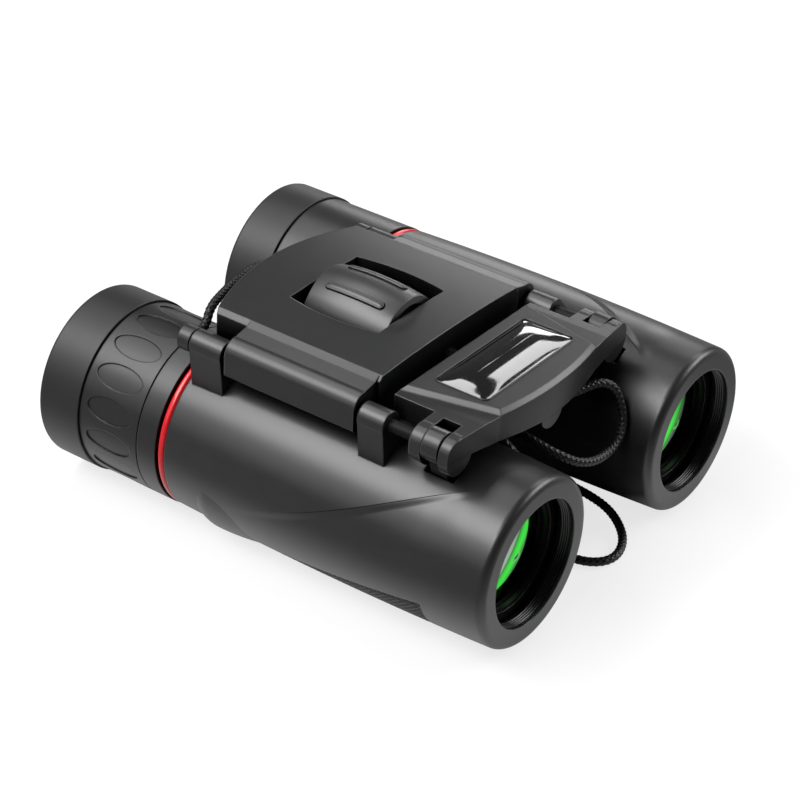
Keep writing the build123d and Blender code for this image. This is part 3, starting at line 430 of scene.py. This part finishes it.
# %% Finishes on the solids that stay
finish_by_word = [
    ("objective_crown", objective_painted_bands), ("objective_flint", clear), ("eye_lens", ocular_violet),
    ("field_lens", clear), ("prism_front", clear), ("prism_rear", clear), ("prism_holder", inner_black),
    ("objective_cell", cell_plate_shaded), ("objective", inner_black), ("ocular_cell", inner_black),
    ("eyepiece_tube", inner_black), ("red_ring", red_gloss), ("collar", eyepiece_black),
    ("sleeve", eyepiece_black), ("diopter_ring", eyepiece_black), ("eyecup", cup_rubber),
    ("grip_pad", grip_rubber), ("right_housing", armour["right"]), ("left_housing", armour["left"]),
    ("hinge_pin", pin_shaded_black), ("bush", brass_shaded), ("nut", brass_shaded), ("spindle", pin_shaded_black),
    ("screws", steel_oiled), ("focus_wheel", wheel_rubber), ("wheel_core", inner_black),
    ("badge", badge_gloss)]
for node_name, node in nodes.items():
    finish = next((m for word, m in finish_by_word if word in node_name), plate)
    node.data.materials.clear()
    node.data.materials.append(finish)
print("finished solids", len(nodes))

# %% [markdown]
# The strap is a limp braided cord.  Its line is a smooth spline with the route's own points
# as control points; the braid is made by two families of strands that wind round that line
# in opposite turns and pass over and under each other.  The tether comes from the pin's cap
# and goes along the plate's rear edge and underneath to the crimp.  The loop leaves the
# crimp, hangs in two bights between the barrels and comes back to it.

# %% Cord routes
cord_r = 0.9
crimp_front_s, crimp_length, crimp_w, strand_pitch = 30.0, 6.5, -10.6, 2.0
rear_lug_s, rear_lug_width, cap_gap, cap_length = 62.5, 7.2, 0.35, 2.9
cap_s = rear_lug_s + rear_lug_width + cap_gap
cap_mid_s = cap_s + cap_length / 2
floor_height = cord_r + 0.03
tether_route = bridge_to_row(
    [-24.8, -21.6, -19.0, -13.5, -6.5, 0.5, 6.5, 7.5, 4.0, 0.4, 0.1, 0.0, 0.0],
    [cap_mid_s, cap_mid_s, 72.6, 74.0, 75.6, 76.6, 76.6, 73.5, 66.5, 58.0, 50.0, 43.0,
     crimp_front_s + crimp_length],
    [0.0, 0.0, 3.0, 3.3, 3.2, 2.6, -0.5, -6.5, -11.8, -13.6, -13.3, crimp_w - 0.6, crimp_w])
upper_w, lower_w = crimp_w + strand_pitch / 2, crimp_w - strand_pitch / 2
hanging = np.array([
    (-4.4, 15.2, 31.6), (2.6, 13.2, 32.6), (11.2, 9.6, 33.3), (11.4, 6.2, 24.8), (6.0, 5.4, 21.5),
    (-3.1, 5.4, 23.1), (-8.4, 8.8, 26.8), (-10.5, 16.5, 30.0), (-7.0, 24.5, 25.5), (-1.5, 29.0, 17.5),
    (1.5, 33.0, 7.5), (2.0, 40.5, 1.6)])
lying = np.array([
    (1.0, 51.0), (1.5, 61.5), (4.0, 71.5), (14.5, 71.0), (17.0, 61.0), (16.5, 50.0), (17.4, 38.5),
    (18.2, 27.0), (17.6, 16.5), (15.4, 9.2), (9.2, 2.6), (2.4, 0.7), (-1.8, 4.4), (-2.2, 11.2)])
lying = np.column_stack([lying, np.full(len(lying), floor_height)])
rising = np.array([(-6.2, 18.4, 2.6), (-6.2, 20.2, 11.0), (-8.0, 14.5, 20.5)])
loop_route = np.concatenate([
    bridge_to_row([0, 0], [crimp_front_s, 22.5], [upper_w, upper_w]),
    (np.concatenate([hanging, lying, rising]) - [0, total_length / 2, 0]) / 1000,
    bridge_to_row([0, 0], [21.0, crimp_front_s], [lower_w, lower_w])])
print("route points", len(tether_route), len(loop_route))


# %% A line's points and its carried frame
def spline_points(name, route):
    """Points along the smooth spline that has the route's points as its control points."""
    curve = bpy.data.curves.new(name, "CURVE")
    curve.dimensions = "3D"
    spline = curve.splines.new("NURBS")
    spline.points.add(len(route) - 1)
    spline.points.foreach_set("co", np.column_stack([route, np.ones(len(route))]).reshape(-1))
    spline.order_u = 3
    spline.use_endpoint_u = True
    spline.resolution_u = 24
    holder = bpy.data.objects.new(name, curve)
    bpy.context.scene.collection.objects.link(holder)
    bpy.context.view_layer.update()
    flat = bpy.data.meshes.new_from_object(holder.evaluated_get(bpy.context.evaluated_depsgraph_get()))
    points = np.empty(len(flat.vertices) * 3)
    flat.vertices.foreach_get("co", points)
    bpy.data.objects.remove(holder)
    bpy.data.meshes.remove(flat)
    points = points.reshape(-1, 3)
    return points[np.r_[True, np.linalg.norm(np.diff(points, axis=0), axis=1) > 1e-7]]


def carried_frames(points):
    """Normal and binormal along a line, each normal turned from the last with least twist."""
    tangent = np.gradient(points, axis=0)
    tangent /= np.linalg.norm(tangent, axis=1)[:, None]
    normal = np.zeros_like(points)
    seed = np.array([0.0, 0.0, 1.0]) if abs(tangent[0, 2]) < 0.9 else np.array([1.0, 0.0, 0.0])
    normal[0] = seed - tangent[0] * (seed @ tangent[0])
    for k in range(1, len(points)):
        normal[k] = normal[k - 1] - tangent[k] * (normal[k - 1] @ tangent[k])
        normal[k] /= np.linalg.norm(normal[k])
    normal[0] /= np.linalg.norm(normal[0])
    return normal, np.cross(tangent, normal)


# %% [markdown]
# The braid has three strands each way.  A shade value goes with the relief, so that the finish
# can paint shade into the gaps between the strands.

# %% Braided cord
strands, lay, relief_share, weave = 3, 0.0066, 0.28, 0.45


def braided_cord(name, route, around, step):
    """Tube whose radius is the higher of two families of strands, |cos p| and |cos q|, wound in
    opposite turns; cos p * cos q lifts one family and lowers the other at every second crossing."""
    line = spline_points(name + "_line", route)
    length = np.r_[0, np.cumsum(np.linalg.norm(np.diff(line, axis=0), axis=1))]
    along = np.linspace(0, length[-1], int(length[-1] / step))
    centre = np.stack([np.interp(along, length, line[:, k]) for k in range(3)], -1)
    normal, side = carried_frames(centre)
    t, a = np.meshgrid(along, np.linspace(0, 2 * np.pi, around, endpoint=False), indexing="ij")
    p, q = strands * (a + 2 * np.pi * t / lay), strands * (a - 2 * np.pi * t / lay)
    cross = weave * np.cos(p) * np.cos(q)
    height = np.maximum(np.abs(np.cos(p)) ** 0.8 + cross, np.abs(np.cos(q)) ** 0.8 - cross) / (1 + weave)
    radius = cord_r / 1000 * (1 - relief_share + relief_share * height)
    radius[[0, -1]] = 0
    ring = np.cos(a)[..., None] * normal[:, None] + np.sin(a)[..., None] * side[:, None]
    # Painted shade: the gaps between the strands get a low value and are darkened.
    shade_tone = np.clip(2.2 * height - 0.9, 0, 1)
    piece = grid_piece(name, centre[:, None] + radius[..., None] * ring, welded=True, shade_tone=shade_tone)
    print(name, "length mm", round(length[-1] * 1000, 1))
    return piece, centre


tether, tether_line = braided_cord("tether_cord", tether_route, 40, 0.0001)
loop, loop_line = braided_cord("wrist_loop_cord", loop_route, 32, 0.00013)
dress(tether, "bridge", "cord", cord_black, "strap_tether")
dress(loop, "bridge", "cord", cord_black, "strap_loop")
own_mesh(loop)


# %% [markdown]
# Each barrel has a soft grip let into its underside.  Its skin is a sector of the barrel
# with a relief of small diamonds; at the border the relief runs out into a narrow groove,
# and the section then goes back along the floor of the recess, so the pad is a closed body.

# %% Grip pads
pad_front_s, pad_rear_s, pad_floor_r, pad_turn = 13.0, 46.0, 15.9, math.radians(36.0)
pad_inner_half, pad_front_half, pad_rear_half = math.radians(42.0), math.radians(56.0), math.radians(32.0)
diamond, diamond_height, groove, border = 1.3, 0.34, 0.3, 0.8


def grip_pad(side):
    """Outer radius r(s) - h + h * diamonds(s, a) * fade, with the relief |sin p * sin q| of crossed waves and
    a fade at the border; the section returns at the floor's radius.  The outer edge goes straight from
    the front half-angle to the rear one."""
    s = np.linspace(pad_front_s, pad_rear_s, 281)[:, None]
    share = (s - pad_front_s + 1) / (pad_rear_s - pad_front_s + 2)
    front, rear = pad_turn + pad_front_half, pad_turn + pad_rear_half
    edge = np.arctan2((1 - share) * np.sin(front) + share * np.sin(rear),
                      (1 - share) * np.cos(front) + share * np.cos(rear))
    low = pad_turn - pad_inner_half
    a = low + (edge - low) * np.linspace(0, 1, 221)[None, :]
    arc = a * body_mid_r
    p, q = np.pi * (s + arc) / diamond, np.pi * (s - arc) / diamond
    diamonds = np.clip(1.6 * np.abs(np.sin(p) * np.sin(q)), 0, 1)
    inset = np.minimum(s - pad_front_s, pad_rear_s - s)
    inset = np.minimum(inset, body_mid_r * np.minimum(a - low, edge - a))
    fade = np.clip((inset - groove) / border, 0, 1)
    outer = body_radius(s) - diamond_height * (1 - diamonds * fade)
    outer = np.where(inset < 1e-9, pad_floor_r, outer)
    back = a[:, ::-20]
    angle = outward[side] * np.concatenate([a, back], 1)
    radius = np.concatenate([outer, np.full_like(back, pad_floor_r)], 1)
    # Painted shade: the hollows between the diamonds and the border groove get a low value and are darkened.
    shade_tone = np.concatenate([diamonds * fade, np.zeros_like(back)], 1)
    points = barrel_to_row(side, radius * np.sin(angle), s, -radius * np.cos(angle))
    return grid_piece(side + "_diamond_grip", points, welded=True, shade_tone=shade_tone)


for side in ("right", "left"):
    dress(grip_pad(side), side + "_barrel", "grip", grip_rubber, side + "_grip_pad")


# %% [markdown]
# A dead black tube runs along the crease from the front of each barrel over its shoulder
# and fades towards the back: painted shade where the skin steps down, thin at both ends,
# sunk half into the skin.

# %% Painted shade lines along the creases
crease_line_r, crease_line_sunk = 0.10, 0.03


def crease_shade_line(side):
    """Circle of radius w * sqrt(sin) * taper carried along (s, a(s)) on the skin, thin at both ends."""
    s = np.linspace(crease_s[0], crease_s[-1], 90)
    a, r = np.polynomial.Polynomial(crease_curve)(s), body_radius(s) - crease_line_sunk
    share = (s - s[0]) / (s[-1] - s[0])
    width = crease_line_r * np.sqrt(np.clip(np.sin(np.pi * share), 0, 1)) * (1 - 0.6 * share)
    line = barrel_to_row(side, outward[side] * r * np.sin(a), s, r * np.cos(a))
    normal, across = carried_frames(line)
    turn = np.linspace(0, 2 * np.pi, 10, endpoint=False)
    ring = np.cos(turn)[None, :, None] * normal[:, None] + np.sin(turn)[None, :, None] * across[:, None]
    return grid_piece(side + "_crease_shade_line", line[:, None] + width[:, None, None] / 1000 * ring, welded=True)


# Painted shade along each crease.
for side in ("right", "left"):
    dress(crease_shade_line(side), side + "_barrel", "armour", painted_shade_black)


# %% [markdown]
# Just inside the front rim the barrel is threaded for a filter or a cap.  A fine thread
# reads as a stack of shallow glossy rings, so its profile is a wave spun about the axis.

# %% Filter threads
thread_front_s, thread_rear_s, thread_pitch, thread_depth = 0.7, 2.5, 0.45, 0.16
thread_wall, thread_gap = 0.03, 0.01


def filter_thread(side):
    """Closed profile spun about the barrel: a wave r0 - d * (1 + cos) / 2 inside, a plain wall outside."""
    s = np.linspace(thread_front_s, thread_rear_s, 61)
    wave = 0.5 + 0.5 * np.cos(2 * np.pi * (s - s[0]) / thread_pitch)
    wave = rim_bore_r - thread_wall - thread_depth * wave
    radius = np.concatenate([wave, np.full(2, rim_bore_r - thread_gap)])[:, None]
    station = np.concatenate([s, s[[-1, 0]]])[:, None]
    a = np.linspace(0, 2 * np.pi, 144, endpoint=False)[None, :]
    points = barrel_to_row(side, radius * np.sin(a), station, radius * np.cos(a))
    return grid_piece(side + "_filter_thread", points, close_along=True, welded=True)


for side in ("right", "left"):
    dress(filter_thread(side), side + "_barrel", "inner", thread_black)


# %% [markdown]
# A red ring lies in a black groove where the eyepiece meets the barrel.  Its section is a
# bead, so that it shows one bright line; the groove's floor is a ring of its own, dead black as painted shade
# in the groove.

# %% Red rings
ring_s, ring_half, ring_crest_r, ring_fall = 71.6, 0.84, 16.78, 0.7
ring_seat_half, ring_seat_r, ring_inner_r, ring_sunk = 0.97, 15.5, 13.6, 0.3


def ring_bead(side):
    """Section r = crest - fall * |x| ** 3 over -1 < x < 1, closed below the seat, spun about the barrel."""
    x = np.linspace(-1, 1, 25)
    crown = ring_crest_r - ring_fall * np.abs(x) ** 3
    radius = np.concatenate([crown, [ring_seat_r - ring_sunk] * 2])[:, None]
    station = ring_s + ring_half * np.concatenate([x, [1, -1]])[:, None]
    a = np.linspace(0, 2 * np.pi, 180, endpoint=False)[None, :]
    points = barrel_to_row(side, radius * np.sin(a), station, radius * np.cos(a))
    return grid_piece(side + "_ring_bead", points, close_along=True, welded=True)


def ring_seat(side):
    """Plain ring between the barrel and the eyepiece, under the bead; it is dead black as painted shade in the
    groove.
    """
    station = ring_s + ring_seat_half * np.array([-1, 1, 1, -1])[:, None]
    radius = np.array([ring_seat_r, ring_seat_r, ring_inner_r, ring_inner_r])[:, None]
    a = np.linspace(0, 2 * np.pi, 120, endpoint=False)[None, :]
    points = barrel_to_row(side, radius * np.sin(a), station, radius * np.cos(a))
    return grid_piece(side + "_ring_seat", points, close_along=True, welded=True)


for side in ("right", "left"):
    dress(ring_bead(side), side + "_barrel", "ring", red_gloss, side + "_red_ring")
    dress(ring_seat(side), side + "_barrel", "inner", painted_shade_black)


# %% [markdown]
# The badge is a bare pillow of clear-coated black: a rounded rectangle whose top swells to
# a dome, so that its flanks catch the light one by one, each in a lens-shaped patch.  A
# narrow bead frames the recess that it sits in.

# %% Domed badge
badge_half, badge_front_s, badge_rear_s, badge_corner = 14.0, 14.9, 25.7, 1.0
badge_floor, badge_top, badge_dome = 3.3, 3.9, 1.35
badge_gap, bead_out, bead_r = 0.05, 0.22, 0.17
badge_mid_s = (badge_front_s + badge_rear_s) / 2
badge_half_s = (badge_rear_s - badge_front_s) / 2


def rounded_rectangle(half_u, half_s, corner, count):
    """Points at even steps round a rectangle whose corners are quarter circles."""
    quarter = np.linspace(0, np.pi / 2, 12)
    turn = np.concatenate([quarter + k * np.pi / 2 for k in range(4)])
    u = np.sign(np.repeat([1, -1, -1, 1], 12)) * (half_u - corner) + corner * np.cos(turn)
    s = np.sign(np.repeat([1, 1, -1, -1], 12)) * (half_s - corner) + corner * np.sin(turn)
    u, s = np.r_[u, u[0]], np.r_[s, s[0]]
    run = np.r_[0, np.cumsum(np.hypot(np.diff(u), np.diff(s)))]
    even = np.linspace(0, run[-1], count, endpoint=False)
    return np.interp(even, run, u), np.interp(even, run, s)


def outline_normals(u, s):
    """Unit normals of a closed outline, in columns, from the points on either side of each point."""
    step_u, step_s = np.roll(u, -1) - np.roll(u, 1), np.roll(s, -1) - np.roll(s, 1)
    size = np.hypot(step_u, step_s)
    return (step_s / size)[:, None], (-step_u / size)[:, None]


def badge_pillow():
    """Rings of the outline drawn in to the middle, at the height top + dome * (1 - a ** 5) * (1 - b ** 2.6)
    with a and b the shares of the way to the end and to the side; the first two rings are its foot."""
    half_u, half_s = badge_half - badge_gap, badge_half_s - badge_gap
    u, s = rounded_rectangle(half_u, half_s, badge_corner, 240)
    share = np.concatenate([[0, 1], np.linspace(1, 0, 61)])[:, None]
    u = np.sign(u) * np.maximum(np.abs(u) - (1 - share) * badge_half_s, 0)
    u, s = np.where(share > 0, u, 0), share * s
    to_end, to_side = np.abs(u) / half_u, np.abs(s) / half_s
    height = badge_top - badge_gap + badge_dome * (1 - to_end ** 5) * (1 - to_side ** 2.6)
    height[:2] = badge_floor + 0.02
    points = bridge_to_row(u, badge_mid_s + s, height)
    return grid_piece("badge_pillow", points, welded=True)


def badge_bead():
    """Small circle carried round the badge's recess."""
    u, s = rounded_rectangle(badge_half + bead_out, badge_half_s + bead_out, badge_corner + 0.2, 240)
    out_u, out_s = outline_normals(u, s)
    turn = np.linspace(0, 2 * np.pi, 10, endpoint=False)[None, :]
    side = bead_r * np.cos(turn)
    lift = badge_top + bead_r * np.sin(turn)
    points = bridge_to_row(u[:, None] + side * out_u, badge_mid_s + s[:, None] + side * out_s, lift)
    return grid_piece("badge_bead", points, close_along=True, welded=True)


dress(badge_pillow(), "front_bridge", "badge", badge_gloss, "badge")
dress(badge_bead(), "front_bridge", "bridge", plate)


# %% [markdown]
# The focus wheel is gripped by finger ribs.  Each one is a rounded bar along the crowned
# wheel, with a dead black line round its foot as painted shade.  Both ride on the wheel, so they turn with it.

# %% Wheel ribs
wheel_axis_w, wheel_r, wheel_crown = -0.3, 9.2, 0.75
wheel_front_s, wheel_length = 41.5, 18.2
rib_count, rib_phase, rib_margin = 8, 15, 2.65
rib_half, rib_half_s, rib_lift = 0.72, wheel_length / 2 - rib_margin, 0.46
rib_sunk, shade_line_out, shade_line_r = 0.3, 0.06, 0.13


def on_wheel(turn, across, along, lift):
    """Turn, offsets and height over the crown r(s) = r - bow + sqrt(bow ** 2 - s ** 2) to row metres."""
    bow = (wheel_length ** 2 / 4 + wheel_crown ** 2) / (2 * wheel_crown)
    radius = wheel_r - bow + np.sqrt(bow ** 2 - along ** 2) + lift
    angle = turn + across / radius
    s = wheel_front_s + wheel_length / 2 + along
    return bridge_to_row(radius * np.sin(angle), s, wheel_axis_w + radius * np.cos(angle))


def wheel_rib(name, turn):
    """Rings of the bar's outline drawn in to its middle line, at the height lift * sqrt(1 - t ** 2)."""
    across, along = rounded_rectangle(rib_half, rib_half_s, rib_half - 0.01, 160)
    share = np.concatenate([[0, 1], np.cos(np.linspace(0, np.pi / 2, 13))])[:, None]
    along = np.sign(along) * np.maximum(np.abs(along) - (1 - share) * rib_half, 0)
    lift = rib_lift * np.sqrt(np.clip(1 - share ** 2, 0, 1))
    lift[:2] = -rib_sunk
    return grid_piece(name, on_wheel(turn, share * across, along, lift), welded=True)


def rib_shade_line(name, turn):
    """Small circle carried round the foot of a rib, a black line of painted shade."""
    across, along = rounded_rectangle(rib_half + shade_line_out, rib_half_s + shade_line_out,
                                      rib_half + 0.05, 160)
    out_across, out_along = outline_normals(across, along)
    angle = np.linspace(0, 2 * np.pi, 8, endpoint=False)[None, :]
    side = shade_line_r * np.cos(angle)
    points = on_wheel(turn, across[:, None] + side * out_across, along[:, None] + side * out_along,
                      shade_line_r * np.sin(angle))
    return grid_piece(name, points, close_along=True, welded=True)


for index in range(rib_count):
    turn = math.radians(rib_phase + 360 / rib_count * index)
    dress(wheel_rib(f"wheel_rib_{index + 1}", turn), "focus_wheel", "wheel", wheel_rubber)
    dress(rib_shade_line(f"wheel_rib_shade_line_{index + 1}", turn), "focus_wheel", "wheel", painted_shade_black)

# %% [markdown]
# The camera stands where the photograph was taken: left of the right barrel, in front and
# above, with a long lens.

# %% Camera
eye = Vector((-0.3257, -0.2296, 0.2729))
right = Vector((0.5914, -0.8056, 0.0345))
up = Vector((0.4184, 0.3431, 0.8409))
back = Vector((-0.6893, -0.4829, 0.5401))
camera_data = bpy.data.cameras.new("camera")
camera_data.lens = 111.33
camera_data.sensor_width = 36.0
camera = bpy.data.objects.new("camera", camera_data)
camera.matrix_world = Matrix((
    (right.x, up.x, back.x, eye.x), (right.y, up.y, back.y, eye.y),
    (right.z, up.z, back.z, eye.z), (0, 0, 0, 1)))
bpy.context.scene.collection.objects.link(camera)
bpy.context.scene.camera = camera
bpy.context.scene.view_settings.view_transform = "Standard"
print("camera", camera_data.lens, "mm")


# %% [markdown]
# The floor is pale and keeps the object's shadow.  Part of its white is a glow that the
# camera sees, directly or through glass.  Gloss sees the glow only in a ring round the object's
# foot, not right under it: a painted glow that puts light into the object's reflections.  Far from
# the lamps the glow makes up for their light, so the background stays white from every side.

# %% Pale floor
floor_half = 6.0
foot_x, foot_y = 0.026, 0.040


def pale_floor():
    """A wide floor whose glow depends on the kind of ray and on the distance from the object's foot."""
    side = np.linspace(-floor_half, floor_half, 3)
    y, x = np.meshgrid(side, side, indexing="ij")
    floor = grid_piece("floor", np.stack([x, y, 0 * x], -1), close_round=False)
    material, tree, shader = shader_of("pale_floor")
    shader.inputs["Base Color"].default_value = (0.28, 0.28, 0.28, 1)
    shader.inputs["Roughness"].default_value = 0.9
    shader.inputs["Specular IOR Level"].default_value = 0.0
    shader.inputs["Emission Color"].default_value = (1, 1, 1, 1)
    path = tree.nodes.new("ShaderNodeLightPath")
    place = tree.nodes.new("ShaderNodeSeparateXYZ")
    tree.links.new(tree.nodes.new("ShaderNodeTexCoord").outputs["Object"], place.inputs["Vector"])
    out_x = math_node(tree, "SUBTRACT", math_node(tree, "ABSOLUTE", place.outputs["X"]), foot_x)
    out_y = math_node(tree, "SUBTRACT", math_node(tree, "ABSOLUTE", place.outputs["Y"]), foot_y)
    apart = math_node(tree, "MAXIMUM", out_x, out_y)
    # Painted glow for gloss: the floor glows in reflections only in a ring round the object's foot, and not
    # right under it.
    near = math_node(tree, "MULTIPLY", spread(tree, apart, (0.0, 0.02), (0, 1)),
                     spread(tree, apart, (0.012, 0.05), (1, 0)))
    seen = math_node(tree, "MAXIMUM", path.outputs["Is Camera Ray"], path.outputs["Is Transmission Ray"])
    seen = math_node(tree, "MAXIMUM", seen, math_node(tree, "MULTIPLY", path.outputs["Is Glossy Ray"], near))
    white = spread(tree, apart, (0.2, 0.8), (0.75, 1.0))
    tree.links.new(math_node(tree, "MULTIPLY", seen, white), shader.inputs["Emission Strength"])
    floor.data.materials.append(material)


pale_floor()


# %% [markdown]
# The object is black, so its shapes are drawn by what it mirrors.  The large lamp at the
# left makes the long light on the near barrel, and a weak one below it carries that light
# down to the bands and the dial.  A strip overhead lights the end of the badge and the
# bevels.  The lamps at the right light the front bridge's chamfers, the badge's front flank
# and the far edge of the plate.

# %% Lamps
lamp_distance = 0.85
lamps = [
    ("main_left", (-0.55, 0.30, 0.78), 0.75, 0.40, 7.5),
    ("overhead_strip", (0.06, 0.48, 0.87), 0.60, 0.20, 4.5),
    ("right_front", (0.69, -0.54, 0.48), 0.50, 0.36, 6.0),
    ("left_low", (-0.82, 0.43, 0.37), 0.50, 0.26, 1.2),
    ("right_top", (0.73, 0.03, 0.67), 0.40, 0.20, 4.0),
    ("right_back", (0.86, 0.43, 0.27), 0.22, 0.22, 4.0)]


def soft_light(name, towards, width, height, radiance):
    """A rectangular lamp in a direction from the object, facing it; its power is pi * area * radiance."""
    lamp = bpy.data.lights.new(name, "AREA")
    lamp.shape = "RECTANGLE"
    lamp.size, lamp.size_y = width, height
    lamp.energy = math.pi * width * height * radiance
    holder = bpy.data.objects.new(name, lamp)
    holder.location = Vector(towards).normalized() * lamp_distance
    holder.rotation_euler = Vector(towards).to_track_quat("Z", "Y").to_euler()
    bpy.context.scene.collection.objects.link(holder)
    print(name, "watts", round(lamp.energy, 2))


for lamp_row in lamps:
    soft_light(*lamp_row)
world = bpy.data.worlds.new("studio")
bpy.context.scene.world = world
world.use_nodes = True
world.node_tree.nodes["Background"].inputs["Color"].default_value = (1, 1, 1, 1)
world.node_tree.nodes["Background"].inputs["Strength"].default_value = 0.08
